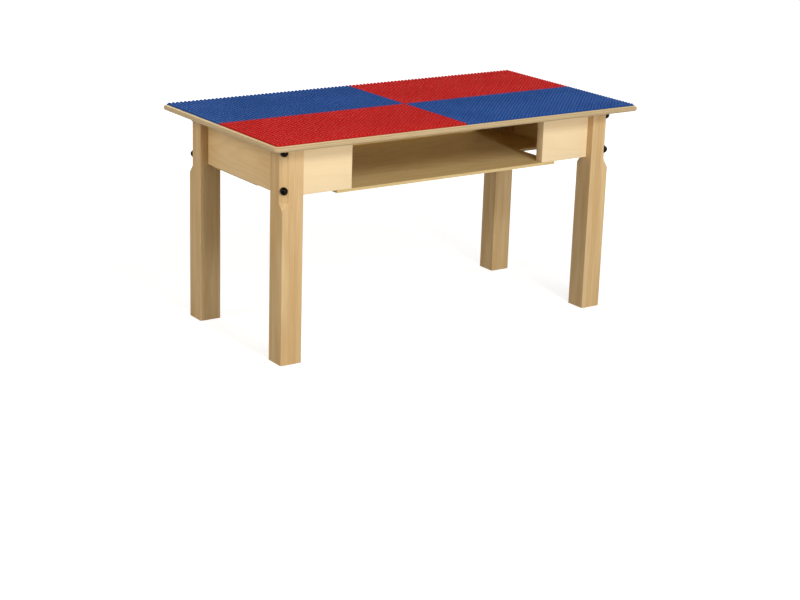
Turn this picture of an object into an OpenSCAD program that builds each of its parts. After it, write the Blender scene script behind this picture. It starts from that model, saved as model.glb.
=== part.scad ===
// Child's play table with a studded brick top and an open storage bay under it.
// Frame: origin on the floor under the middle of the table, +X to the right along
// the length, -Y towards the child who sits at the bay, +Z up. All in millimetres.

/* [Studded plates] */
// Distance from one stud to the next
stud_pitch = 8; // [7:0.1:9.5]
// Studs along the length of one plate
stud_cols = 48; // [42:1:52]
// Studs across the depth of one plate
stud_rows = 24; // [22:1:28]
// Diameter of a stud
stud_d = 4.9; // [4:0.1:5.6]
// Height of a stud above its plate
stud_h = 1.8; // [1:0.1:3]
// Thickness of the plate under the studs
plate_t = 1.6; // [1.2:0.1:4]
// Gap between one plate and the next
plate_seam = 0.3; // [0:0.1:1]
// Corner radius of a plate, seen from above
plate_corner_r = 2; // [0.5:0.1:3]

/* [Tabletop] */
// Height of the wooden top above the floor
top_z = 391; // [360:1:560]
// Thickness of the tabletop board
top_t = 10; // [8:0.5:14]
// Wooden border left round the studded plates
top_border = 6; // [5:0.5:20]
// Corner radius of the flat part of the board, inside its rounded edge
top_corner_r = 4; // [1:0.5:12]

/* [Legs] */
// Side of the square leg
leg_w = 41; // [38:0.5:50]
// Distance from the edge of the board in to a leg
leg_inset = 36; // [20:1:48]
// Radius of the leg's eased long edges
leg_ease = 1.5; // [0.5:0.1:3]
// Bevel at the foot of a leg
foot_bevel = 1.5; // [0.5:0.1:4]
// Bevel round the top of a leg
leg_top_bevel = 4; // [1:0.5:8]
// Size of the cut along the outer corner, on each face
outer_cut = 12; // [9:0.5:14]
// Size of the cut along the inner corner, on each face
inner_cut = 12; // [10:0.5:14]
// How far the outer cut reaches below the aprons at full depth
outer_cut_drop = 7; // [0:0.5:20]
// Length of the slope where a corner cut runs out
cut_runout = 15; // [6:1:30]

/* [Aprons and front panels] */
// Height of the aprons and front panels
apron_h = 89; // [75:1:110]
// Thickness of the aprons and front panels
apron_t = 18; // [15:0.5:20]
// How far the inner face of an apron lies outside the inner face of a leg
apron_reveal = 8; // [7:0.5:10]
// Width of the open bay between the two front panels
bay_w = 415; // [360:1:440]

/* [Storage shelf] */
// Thickness of the shelf board
shelf_t = 5; // [4:0.5:8]
// Width of the shelf's front tongue past each side of the bay
shelf_lap = 30; // [18:1:50]
// Depth of the front tongue
tongue_depth = 109; // [60:1:150]
// Distance from the face of an apron in to the edge of the shelf
shelf_recess = 8; // [4:0.5:9]
// Clearance round the legs in the shelf's rear corners
shelf_leg_clear = 1; // [0.5:0.1:3]

/* [Corner blocks] */
// Thickness of a corner block along the bolts
block_t = 30; // [27:0.5:31]
// Gap between the nose of a block and the leg it draws in
block_nose_gap = 0.4; // [0.2:0.1:0.8]
// Gap above a block, under the tabletop
block_top_gap = 0.4; // [0.2:0.1:0.8]

/* [Leg bolts] */
// Diameter of the bolt's shank
bolt_d = 6; // [5:0.5:7]
// Radial clearance of the bolt holes in wood
bolt_clear = 0.3; // [0.2:0.1:0.8]
// Radial clearance between a bolt and its nut and washer
nut_clear = 0.1; // [0.05:0.05:0.2]
// Height of the lower bolt above the lower edge of the apron
bolt_rise = 13.2; // [11:0.1:24]
// Depth of the upper bolt below the tabletop
bolt_drop = 11; // [10:0.1:24]
// Diameter of the rounded bolt head
head_d = 14; // [12:0.5:15]
// Height of the bolt head
head_h = 6.2; // [4.5:0.1:7]
// Height of the upright rim under the dome of the head
head_rim = 0.8; // [0.4:0.1:1.5]
// Hexagon socket across its flats
socket_af = 4; // [3:0.5:5]
// Depth of the hexagon socket
socket_depth = 3; // [2:0.1:4]
// Length of thread left beyond the nut
bolt_tail = 2.2; // [1:0.1:6]
// Diameter of the washer
washer_d = 14; // [12:0.5:18]
// Thickness of the washer
washer_t = 1.6; // [1:0.1:2]
// Hexagon nut across its flats
nut_af = 10; // [9:0.5:11]
// Height of the nut
nut_h = 5.2; // [4:0.1:6]

/* [Cleats] */
// Side of the square cleats that hold the tabletop to the aprons
cleat_w = 18; // [15:0.5:22]
// Gap between the end of a cleat and a corner block
cleat_gap = 4; // [2:0.5:8]
// Distance of the front cleats from the open ends of the front panels
cleat_inset = 8; // [4:0.5:12]

/* [Wood screws] */
// Shank diameter of a wood screw
screw_d = 3.5; // [3:0.1:4.5]
// Head diameter of a wood screw
screw_head_d = 7; // [6:0.1:9]
// How deep a screw bites into the second piece
screw_bite = 12; // [9:0.5:14]
// How deep a screw bites up into the tabletop
top_bite = 6; // [4:0.5:6.5]
// Height of a screw head where it is sunk flush
screw_head_h = 2; // [1.5:0.1:2.5]
// Radial clearance round a sunk screw head
screw_clear = 0.5; // [0.3:0.1:1]
// Distance of the block screws from the inner corner of the block
block_screw_in = 13; // [11:0.5:14]
// Wood left under the head of a block screw
block_screw_grip = 8; // [6:0.5:8.5]
// Distance of the block screws from the middle height of the apron
block_screw_rise = 15; // [10:0.5:20]
// Greatest distance between two screws in one row
screw_row_step = 190; // [120:5:260]
// Distance from the end of a row of screws to the end of its board
screw_row_end = 20; // [15:0.5:25]
// Offset of the sideways screws of a cleat from its upward screws
cleat_screw_shift = 10; // [8:0.5:12]

/* [Hidden] */
// Facets of the round shapes
$fn = 48;
stud_fn = 16;
screw_fn = 24;
HEX = 6;
// Overshoot of a cutting shape past the face that it cuts
over = 1;
diagonal = sqrt(2);

// Tabletop, from the plates that it carries
plate_l = stud_cols * stud_pitch;
plate_w = stud_rows * stud_pitch;
top_half_l = plate_l + top_border;
top_half_w = plate_w + top_border;
top_under = top_z - top_t;
edge_r = top_t / 2;

// Legs: outer and inner faces, and their middle
leg_out = [top_half_l - leg_inset, top_half_w - leg_inset];
leg_in = [leg_out.x - leg_w, leg_out.y - leg_w];
leg_mid = [leg_out.x - leg_w / 2, leg_out.y - leg_w / 2];

// Aprons: inner and outer faces, and height. They keep their place against the inner
// faces of the legs, where the corner blocks, cleats and shelf meet them.
apron_in = [leg_in.x + apron_reveal, leg_in.y + apron_reveal];
apron_out = [apron_in.x + apron_t, apron_in.y + apron_t];
apron_z = top_under - apron_h;

// Corner cuts of a leg, measured along the diagonal of its section
outer_cut_depth = outer_cut / diagonal;
inner_cut_depth = inner_cut / diagonal;
leg_diagonal = leg_w * diagonal;
outer_cut_z = apron_z - outer_cut_drop;
inner_cut_z = apron_z;

// Bolt stations, measured inwards from the outer corner of the leg
head_at = outer_cut_depth;
leg_end_at = leg_diagonal - inner_cut_depth;
block_at = leg_end_at + block_nose_gap;
washer_at = block_at + block_t;
nut_at = washer_at + washer_t;
bolt_end_at = nut_at + nut_h + bolt_tail;
bolt_zs = [apron_z + bolt_rise, top_under - bolt_drop];

// Corner block in plan: x + y along its nose and along its inner face
nose_sum = leg_out.x + leg_out.y - block_at * diagonal;
inner_sum = leg_out.x + leg_out.y - washer_at * diagonal;
block_top = top_under - block_top_gap;
apron_mid_z = apron_z + apron_h / 2;
block_screw_zs = [apron_mid_z - block_screw_rise, apron_mid_z + block_screw_rise];
pocket_r = screw_head_d / 2 + screw_clear;
pocket_h = block_screw_in + pocket_r - block_screw_grip;

// Shelf
shelf_z = apron_z - shelf_t;
shelf_half_l = apron_out.x - shelf_recess;
shelf_back = apron_out.y - shelf_recess;
tongue_half = bay_w / 2 + shelf_lap;
tongue_back = tongue_depth - apron_out.y;
shelf_notch = [leg_in.x - shelf_leg_clear, leg_in.y - shelf_leg_clear];

// Cleats: they end short of the corner blocks
cleat_end = [inner_sum - apron_in.y - cleat_gap, inner_sum - apron_in.x - cleat_gap];
cleat_z = top_under - cleat_w;
cleat_mid_z = top_under - cleat_w / 2;
cleat_in = [apron_in.x - cleat_w, apron_in.y - cleat_w];
cleat_mid = [apron_in.x - cleat_w / 2, apron_in.y - cleat_w / 2];
front_cleat_x = bay_w / 2 + cleat_inset;
front_screw_x = (front_cleat_x + cleat_end.x - cleat_screw_shift) / 2;

WOOD_TOP = "#e9c48c";
WOOD_LEG = "#d2ac7d";
WOOD_PANEL = "#ecd0a0";
WOOD_SHELF = "#d9ba86";
WOOD_BLOCK = "#c9a068";
PLASTIC_RED = "#b9282a";
PLASTIC_BLUE = "#2b4e90";
STEEL_BLACK = "#1b1a1a";
STEEL_ZINC = "#b8b8b4";
BRASS_ZINC = "#c8a65a";

LEFT = -1;
RIGHT = 1;
FRONT = -1;
BACK = 1;
CORNERS = [[LEFT, FRONT], [RIGHT, FRONT], [LEFT, BACK], [RIGHT, BACK]];

// Places of n or more points evenly between two ends, no further apart than step
function row(from, to, step) =
    let (n = max(1, ceil(abs(to - from) / step)))
    [for (i = [0 : n]) from + (to - from) * i / n];

// Rows of screws along the cleats and the shelf
back_row = row(-cleat_end.x + screw_row_end, cleat_end.x - screw_row_end, screw_row_step);
end_row = row(-cleat_end.y + screw_row_end, cleat_end.y - screw_row_end, screw_row_step);
shelf_back_row = row(-shelf_notch.x + screw_row_end, shelf_notch.x - screw_row_end, screw_row_step);
shelf_end_row = row(tongue_back + screw_row_end, shelf_notch.y - screw_row_end, screw_row_step);

// ---- shared shapes ----

// A rectangle with true round corners, from its low corner
module round_rect(size, r) {
    translate([r, 0]) square([size.x - 2 * r, size.y]);
    translate([0, r]) square([size.x, size.y - 2 * r]);
    for (x = [r, size.x - r], y = [r, size.y - r])
        translate([x, y]) circle(r = r);
}

// A board between two opposite corners
module board(low, high) {
    translate(low) cube(high - low);
}

// Half disc that rounds the edge of the board over
module edge_profile() {
    intersection() {
        circle(r = edge_r);
        translate([0, -edge_r]) square([edge_r, 2 * edge_r]);
    }
}

// Bar with a rounded edge, along +X, its flat back on the XZ plane, facing -Y
module edge_bar(length) {
    rotate([90, 0, 90])
        linear_extrude(height = length)
            mirror([1, 0]) edge_profile();
}

// Board with its whole edge rounded over, centred, from z = 0 up
module bullnosed_board(half_l, half_w) {
    flat_l = half_l - edge_r;
    flat_w = half_w - edge_r;
    arc_l = flat_l - top_corner_r;
    arc_w = flat_w - top_corner_r;
    translate([-flat_l, -arc_w, 0]) cube([2 * flat_l, 2 * arc_w, top_t]);
    for (side = [-1, 1])
        translate([-arc_l, side > 0 ? arc_w : -flat_w, 0])
            cube([2 * arc_l, top_corner_r, top_t]);
    for (turn = [0, 180])
        rotate([0, 0, turn]) {
            translate([-arc_l, -flat_w, edge_r]) edge_bar(2 * arc_l);
            translate([-flat_l, arc_w, edge_r]) rotate([0, 0, -90]) edge_bar(2 * arc_w);
        }
    for (corner = CORNERS)
        translate([corner.x * arc_l, corner.y * arc_w, 0])
            rotate([0, 0, atan2(corner.y, corner.x) - 45])
                rotate_extrude(angle = 90) {
                    square([top_corner_r, top_t]);
                    translate([top_corner_r, edge_r]) edge_profile();
                }
}

// Puts its children on the axis of each leg bolt: +Z points out of the table along
// the diagonal of the leg, and z = 0 lies at the sharp outer corner of the leg
module at_bolts(corner) {
    for (z = bolt_zs)
        translate([corner.x * leg_out.x, corner.y * leg_out.y, z])
            rotate([0, 90, atan2(corner.y, corner.x)])
                children();
}

// Clearance holes of the two bolts through one corner
module bolt_holes(corner) {
    at_bolts(corner)
        translate([0, 0, -bolt_end_at - over])
            cylinder(r = bolt_d / 2 + bolt_clear, h = bolt_end_at + 2 * over);
}

// Flat-headed wood screw: its head's top is at z = 0 and it points down -Z
module wood_screw(length) {
    point_h = screw_d;
    translate([0, 0, -screw_head_h])
        cylinder(d1 = screw_d, d2 = screw_head_d, h = screw_head_h, $fn = screw_fn);
    translate([0, 0, point_h - length])
        cylinder(d = screw_d, h = length - point_h - screw_head_h, $fn = screw_fn);
    translate([0, 0, -length])
        cylinder(d1 = screw_d / 4, d2 = screw_d, h = point_h, $fn = screw_fn);
}

// ---- screw places: each module puts a screw, or its hole, at every place ----

// Screws across a corner block into the apron or panel beside it
module at_block_screws(corner) {
    for (z = block_screw_zs) {
        translate([
            corner.x * (apron_in.x - block_screw_grip),
            corner.y * (inner_sum - apron_in.x + block_screw_in),
            z
        ])
            rotate([0, -corner.x * 90, 0]) children();
        translate([
            corner.x * (inner_sum - apron_in.y + block_screw_in),
            corner.y * (apron_in.y - block_screw_grip),
            z
        ])
            rotate([corner.y * 90, 0, 0]) children();
    }
}

// Screws up through the cleats into the tabletop
module at_cleat_top_screws() {
    for (x = back_row)
        translate([x, cleat_mid.y, cleat_z]) rotate([180, 0, 0]) children();
    for (side = [LEFT, RIGHT]) {
        for (y = end_row)
            translate([side * cleat_mid.x, y, cleat_z]) rotate([180, 0, 0]) children();
        translate([side * front_screw_x, -cleat_mid.y, cleat_z]) rotate([180, 0, 0]) children();
    }
}

// Screws sideways through the cleats into the aprons and panels
module at_cleat_side_screws() {
    for (x = back_row)
        translate([x + cleat_screw_shift, cleat_in.y, cleat_mid_z]) rotate([90, 0, 0]) children();
    for (side = [LEFT, RIGHT]) {
        for (y = end_row)
            translate([side * cleat_in.x, y + cleat_screw_shift, cleat_mid_z])
                rotate([0, -side * 90, 0]) children();
        translate([side * (front_screw_x + cleat_screw_shift), -cleat_in.y, cleat_mid_z])
            rotate([-90, 0, 0]) children();
    }
}

// Screws up through the shelf into the aprons and panels
module at_shelf_screws() {
    for (x = shelf_back_row)
        translate([x, (apron_in.y + shelf_back) / 2, shelf_z]) rotate([180, 0, 0]) children();
    for (side = [LEFT, RIGHT]) {
        for (y = shelf_end_row)
            translate([side * (apron_in.x + shelf_half_l) / 2, y, shelf_z])
                rotate([180, 0, 0]) children();
        translate([side * (bay_w + shelf_lap) / 2, apron_t / 2 - apron_out.y, shelf_z])
            rotate([180, 0, 0]) children();
    }
}

module block_screw() {
    wood_screw(block_screw_grip + screw_bite);
}

module cleat_top_screw() {
    wood_screw(cleat_w + top_bite);
}

module cleat_side_screw() {
    wood_screw(cleat_w + screw_bite);
}

module shelf_screw() {
    wood_screw(shelf_t + screw_bite);
}

// Every screw that bites into an apron or a front panel
module apron_screws() {
    for (corner = CORNERS)
        at_block_screws(corner) block_screw();
    at_cleat_side_screws() cleat_side_screw();
    at_shelf_screws() shelf_screw();
}

// ---- tabletop ----

module tabletop() {
    color(WOOD_TOP)
        difference() {
            translate([0, 0, top_under]) bullnosed_board(top_half_l, top_half_w);
            at_cleat_top_screws() cleat_top_screw();
        }
}

// One studded plate, in the quarter of the table that corner names
module stud_plate(corner) {
    low = [corner.x > 0 ? 0 : -plate_l, corner.y > 0 ? 0 : -plate_w];
    translate([low.x + plate_seam / 2, low.y + plate_seam / 2, top_z])
        linear_extrude(height = plate_t)
            round_rect([plate_l - plate_seam, plate_w - plate_seam], plate_corner_r);
    translate([low.x + stud_pitch / 2, low.y + stud_pitch / 2, top_z + plate_t])
        linear_extrude(height = stud_h)
            for (i = [0 : stud_cols - 1], j = [0 : stud_rows - 1])
                translate([i, j] * stud_pitch) circle(d = stud_d, $fn = stud_fn);
}

module stud_plate_front_left() {
    color(PLASTIC_RED) stud_plate([LEFT, FRONT]);
}

module stud_plate_front_right() {
    color(PLASTIC_BLUE) stud_plate([RIGHT, FRONT]);
}

module stud_plate_back_left() {
    color(PLASTIC_BLUE) stud_plate([LEFT, BACK]);
}

module stud_plate_back_right() {
    color(PLASTIC_RED) stud_plate([RIGHT, BACK]);
}

// ---- legs ----

// Side view of a leg: bevelled at its foot and round its top
module leg_side_view() {
    half = leg_w / 2;
    polygon([
        [foot_bevel - half, 0], [half - foot_bevel, 0], [half, foot_bevel],
        [half, top_under - leg_top_bevel], [half - leg_top_bevel, top_under],
        [leg_top_bevel - half, top_under], [-half, top_under - leg_top_bevel], [-half, foot_bevel]
    ]);
}

// Square bar with eased edges and bevelled ends
module leg_blank() {
    intersection() {
        translate([-leg_w / 2, -leg_w / 2, 0])
            linear_extrude(height = top_under) round_rect([leg_w, leg_w], leg_ease);
        for (turn = [0, 90])
            rotate([90, 0, turn])
                linear_extrude(height = leg_w + 2 * over, center = true) leg_side_view();
    }
}

// Wedge that cuts a corner off: it takes cut_depth along the diagonal from full_z up,
// and runs out in a slope below. The sharp corner is the Z axis, +X points off the leg.
module corner_cut(cut_depth, full_z) {
    rotate([90, 0, 0])
        linear_extrude(height = leg_w, center = true)
            polygon([
                [-cut_depth, full_z],
                [over, full_z - cut_runout * (1 + over / cut_depth)],
                [over, top_under + over],
                [-cut_depth, top_under + over]
            ]);
}

module leg(corner) {
    facing = atan2(corner.y, corner.x);
    color(WOOD_LEG)
        difference() {
            translate([corner.x * leg_mid.x, corner.y * leg_mid.y, 0]) leg_blank();
            translate([corner.x * leg_out.x, corner.y * leg_out.y, 0])
                rotate([0, 0, facing]) corner_cut(outer_cut_depth, outer_cut_z);
            translate([corner.x * leg_in.x, corner.y * leg_in.y, 0])
                rotate([0, 0, facing + 180]) corner_cut(inner_cut_depth, inner_cut_z);
            bolt_holes(corner);
        }
}

module leg_front_left() {
    leg([LEFT, FRONT]);
}

module leg_front_right() {
    leg([RIGHT, FRONT]);
}

module leg_back_left() {
    leg([LEFT, BACK]);
}

module leg_back_right() {
    leg([RIGHT, BACK]);
}

// ---- aprons and front panels ----

module end_apron(side) {
    color(WOOD_PANEL)
        difference() {
            board(
                [side > 0 ? apron_in.x : -apron_out.x, -leg_in.y, apron_z],
                [side > 0 ? apron_out.x : -apron_in.x, leg_in.y, top_under]
            );
            apron_screws();
        }
}

module end_apron_left() {
    end_apron(LEFT);
}

module end_apron_right() {
    end_apron(RIGHT);
}

module back_apron() {
    color(WOOD_PANEL)
        difference() {
            board([-leg_in.x, apron_in.y, apron_z], [leg_in.x, apron_out.y, top_under]);
            apron_screws();
        }
}

module front_panel(side) {
    color(WOOD_PANEL)
        difference() {
            board(
                [side > 0 ? bay_w / 2 : -leg_in.x, -apron_out.y, apron_z],
                [side > 0 ? leg_in.x : -bay_w / 2, -apron_in.y, top_under]
            );
            apron_screws();
        }
}

module front_panel_left() {
    front_panel(LEFT);
}

module front_panel_right() {
    front_panel(RIGHT);
}

// ---- storage shelf ----

// T-shaped board: a front tongue under the bay, and a wide part under the end aprons
// that is notched round the two back legs
module storage_shelf() {
    right_side = [
        [tongue_half, -apron_out.y], [tongue_half, tongue_back],
        [shelf_half_l, tongue_back], [shelf_half_l, shelf_notch.y],
        [shelf_notch.x, shelf_notch.y], [shelf_notch.x, shelf_back]
    ];
    last = len(right_side) - 1;
    left_side = [for (i = [last : -1 : 0]) [-right_side[i].x, right_side[i].y]];
    color(WOOD_SHELF)
        difference() {
            translate([0, 0, shelf_z])
                linear_extrude(height = shelf_t) polygon(concat(right_side, left_side));
            at_shelf_screws() shelf_screw();
        }
}

// ---- corner blocks ----

// Block glued between an apron and its neighbour, with pockets for its screws
module corner_block(corner) {
    color(WOOD_BLOCK)
        difference() {
            translate([0, 0, apron_z])
                linear_extrude(height = block_top - apron_z)
                    polygon([
                        [corner.x * apron_in.x, corner.y * (inner_sum - apron_in.x)],
                        [corner.x * apron_in.x, corner.y * (nose_sum - apron_in.x)],
                        [corner.x * (nose_sum - apron_in.y), corner.y * apron_in.y],
                        [corner.x * (inner_sum - apron_in.y), corner.y * apron_in.y]
                    ]);
            bolt_holes(corner);
            at_block_screws(corner) {
                block_screw();
                cylinder(r = pocket_r, h = pocket_h + over, $fn = screw_fn);
            }
        }
}

module corner_block_front_left() {
    corner_block([LEFT, FRONT]);
}

module corner_block_front_right() {
    corner_block([RIGHT, FRONT]);
}

module corner_block_back_left() {
    corner_block([LEFT, BACK]);
}

module corner_block_back_right() {
    corner_block([RIGHT, BACK]);
}

// ---- cleats ----

// Square batten under the tabletop, between two corners in plan
module cleat(low, high) {
    color(WOOD_BLOCK)
        difference() {
            board([low.x, low.y, cleat_z], [high.x, high.y, top_under]);
            at_cleat_top_screws() cleat_top_screw();
            at_cleat_side_screws() cleat_side_screw();
        }
}

module top_cleat_left() {
    cleat([-apron_in.x, -cleat_end.y], [-cleat_in.x, cleat_end.y]);
}

module top_cleat_right() {
    cleat([cleat_in.x, -cleat_end.y], [apron_in.x, cleat_end.y]);
}

module top_cleat_back() {
    cleat([-cleat_end.x, cleat_in.y], [cleat_end.x, apron_in.y]);
}

module top_cleat_front_left() {
    cleat([-cleat_end.x, -apron_in.y], [-front_cleat_x, -cleat_in.y]);
}

module top_cleat_front_right() {
    cleat([front_cleat_x, -apron_in.y], [cleat_end.x, -cleat_in.y]);
}

// ---- leg bolts ----

// Domed head with a hexagon socket, on a plain shank; its seat is at z = 0
module leg_bolt() {
    dome_rise = head_h - head_rim;
    dome_r = (pow(head_d / 2, 2) + pow(dome_rise, 2)) / (2 * dome_rise);
    length = bolt_end_at - head_at;
    difference() {
        intersection() {
            cylinder(d = head_d, h = head_h);
            translate([0, 0, head_h - dome_r]) sphere(r = dome_r);
        }
        translate([0, 0, head_h - socket_depth])
            cylinder(d = socket_af / cos(180 / HEX), h = socket_depth + over, $fn = HEX);
    }
    translate([0, 0, -length]) cylinder(d = bolt_d, h = length);
}

module leg_bolts() {
    color(STEEL_BLACK)
        for (corner = CORNERS)
            at_bolts(corner) translate([0, 0, -head_at]) leg_bolt();
}

module leg_bolt_washers() {
    color(STEEL_ZINC)
        for (corner = CORNERS)
            at_bolts(corner)
                translate([0, 0, -nut_at])
                    difference() {
                        cylinder(d = washer_d, h = washer_t);
                        translate([0, 0, -over])
                            cylinder(r = bolt_d / 2 + nut_clear, h = washer_t + 2 * over);
                    }
}

module leg_bolt_nuts() {
    color(STEEL_ZINC)
        for (corner = CORNERS)
            at_bolts(corner)
                translate([0, 0, -nut_at - nut_h])
                    difference() {
                        cylinder(d = nut_af / cos(180 / HEX), h = nut_h, $fn = HEX);
                        translate([0, 0, -over])
                            cylinder(r = bolt_d / 2 + nut_clear, h = nut_h + 2 * over);
                    }
}

// ---- wood screws ----

module block_screws() {
    color(BRASS_ZINC)
        for (corner = CORNERS)
            at_block_screws(corner) block_screw();
}

module cleat_side_screws() {
    color(BRASS_ZINC) at_cleat_side_screws() cleat_side_screw();
}

module cleat_top_screws() {
    color(BRASS_ZINC) at_cleat_top_screws() cleat_top_screw();
}

module shelf_screws() {
    color(BRASS_ZINC) at_shelf_screws() shelf_screw();
}

tabletop();
stud_plate_front_left();
stud_plate_front_right();
stud_plate_back_left();
stud_plate_back_right();
leg_front_left();
leg_front_right();
leg_back_left();
leg_back_right();
end_apron_left();
end_apron_right();
back_apron();
front_panel_left();
front_panel_right();
storage_shelf();
corner_block_front_left();
corner_block_front_right();
corner_block_back_left();
corner_block_back_right();
top_cleat_left();
top_cleat_right();
top_cleat_back();
top_cleat_front_left();
top_cleat_front_right();
leg_bolts();
leg_bolt_washers();
leg_bolt_nuts();
block_screws();
cleat_side_screws();
cleat_top_screws();
shelf_screws();
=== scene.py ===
"""Looks of a child's play table with a studded brick top and an open storage bay.

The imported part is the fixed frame. The studded plates, the tabletop, the aprons and the
front panels are replaced by smoother pieces with eased edges; the legs, the shelf, the
corner blocks, the cleats and the hardware keep their solids. Everything is in metres:
+X to the right along the table, -Y out of the storage bay's mouth, +Z up.
"""

import logging
import math
from dataclasses import dataclass, replace
from enum import Enum

import bpy
import numpy as np
from mathutils import Matrix, Vector


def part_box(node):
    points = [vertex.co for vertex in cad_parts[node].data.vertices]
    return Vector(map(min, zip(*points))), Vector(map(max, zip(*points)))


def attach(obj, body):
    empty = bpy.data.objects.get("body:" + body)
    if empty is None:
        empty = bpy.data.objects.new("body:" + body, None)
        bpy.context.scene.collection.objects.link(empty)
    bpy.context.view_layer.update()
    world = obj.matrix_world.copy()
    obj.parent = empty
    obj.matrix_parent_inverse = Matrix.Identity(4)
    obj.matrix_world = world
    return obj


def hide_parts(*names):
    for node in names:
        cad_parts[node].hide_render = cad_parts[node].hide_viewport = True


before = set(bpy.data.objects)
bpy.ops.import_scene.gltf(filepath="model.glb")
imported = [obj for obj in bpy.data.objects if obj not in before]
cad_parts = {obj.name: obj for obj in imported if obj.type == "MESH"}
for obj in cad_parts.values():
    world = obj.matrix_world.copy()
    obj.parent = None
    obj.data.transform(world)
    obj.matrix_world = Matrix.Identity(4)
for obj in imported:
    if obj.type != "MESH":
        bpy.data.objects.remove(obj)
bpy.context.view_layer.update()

log = logging.getLogger("play_table")

Colour = tuple[float, float, float]
Triple = tuple[float, float, float]
Pair = tuple[float, float]

BODY = "root"
CORNERS = ("front_left", "front_right", "back_left", "back_right")
BLACK: Colour = (0.0, 0.0, 0.0)
WHITE: Colour = (1.0, 1.0, 1.0)
NO_TURN: Triple = (0.0, 0.0, 0.0)
TRUE_SCALE: Triple = (1.0, 1.0, 1.0)
SEED_STEP: Triple = (17.3, 9.7, 5.9)
SEED_START: Triple = (3.1, 1.3, 7.7)

# The Mix node's sockets for colours, by number.
MIX_FIRST, MIX_SECOND, MIX_RESULT = 6, 7, 2


class Axis(Enum):
    """One of the three directions of the frame, with its index."""

    X = 0
    Y = 1
    Z = 2

    def triple(self, along: float, across: float) -> Triple:
        """Three numbers: one value along this axis, another on the other two.

        Args:
            along: the number for this axis.
            across: the number for the other two.

        Returns:
            The numbers for X, Y and Z.
        """
        return tuple(along if axis is self else across for axis in Axis)


# ---- shader maths ----


class Value:
    """A node socket inside one material, with arithmetic written as Python."""

    def __init__(self, graph: "Graph", socket: bpy.types.NodeSocket) -> None:
        """Wraps an output socket of that graph."""
        self.graph = graph
        self.socket = socket

    def output(self, name: str) -> "Value":
        """Another output of the node that this socket belongs to."""
        return Value(self.graph, self.socket.node.outputs[name])

    def math(self, operation: str, *others: "Value | float") -> "Value":
        """This number and the others through one Math node.

        Args:
            operation: the Math node's operation.
            others: the further numbers that the operation takes.

        Returns:
            The result.
        """
        sockets = dict(enumerate((self, *others)))
        return self.graph.node("ShaderNodeMath", {"operation": operation}, sockets)

    def __add__(self, other: "Value | float") -> "Value":
        """Sum."""
        return self.math("ADD", other)

    def __radd__(self, other: float) -> "Value":
        """Sum with a plain number first."""
        return self.math("ADD", other)

    def __sub__(self, other: "Value | float") -> "Value":
        """Difference."""
        return self.math("SUBTRACT", other)

    def __rsub__(self, other: float) -> "Value":
        """Difference from a plain number."""
        return self.graph.node("ShaderNodeMath", {"operation": "SUBTRACT"}, {0: other, 1: self})

    def __mul__(self, other: "Value | float") -> "Value":
        """Product."""
        return self.math("MULTIPLY", other)

    def __truediv__(self, other: "Value | float") -> "Value":
        """Quotient."""
        return self.math("DIVIDE", other)

    def fraction(self) -> "Value":
        """What is left above the whole number below."""
        return self.math("FRACT")

    def held(self, low: float, high: float) -> "Value":
        """Kept between two numbers."""
        return self.math("MAXIMUM", low).math("MINIMUM", high)

    def step_up(self, low: float, high: float) -> "Value":
        """A smooth rise from 0 at low to 1 at high."""
        return self.graph.node(
            "ShaderNodeMapRange",
            {"interpolation_type": "SMOOTHSTEP"},
            {"Value": self, "From Min": low, "From Max": high},
        )

    def between(self, low: float, high: float, soft: float) -> "Value":
        """1 between two numbers and 0 outside them, with soft ends."""
        return self.step_up(low - soft, low) * (1 - self.step_up(high, high + soft))


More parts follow.
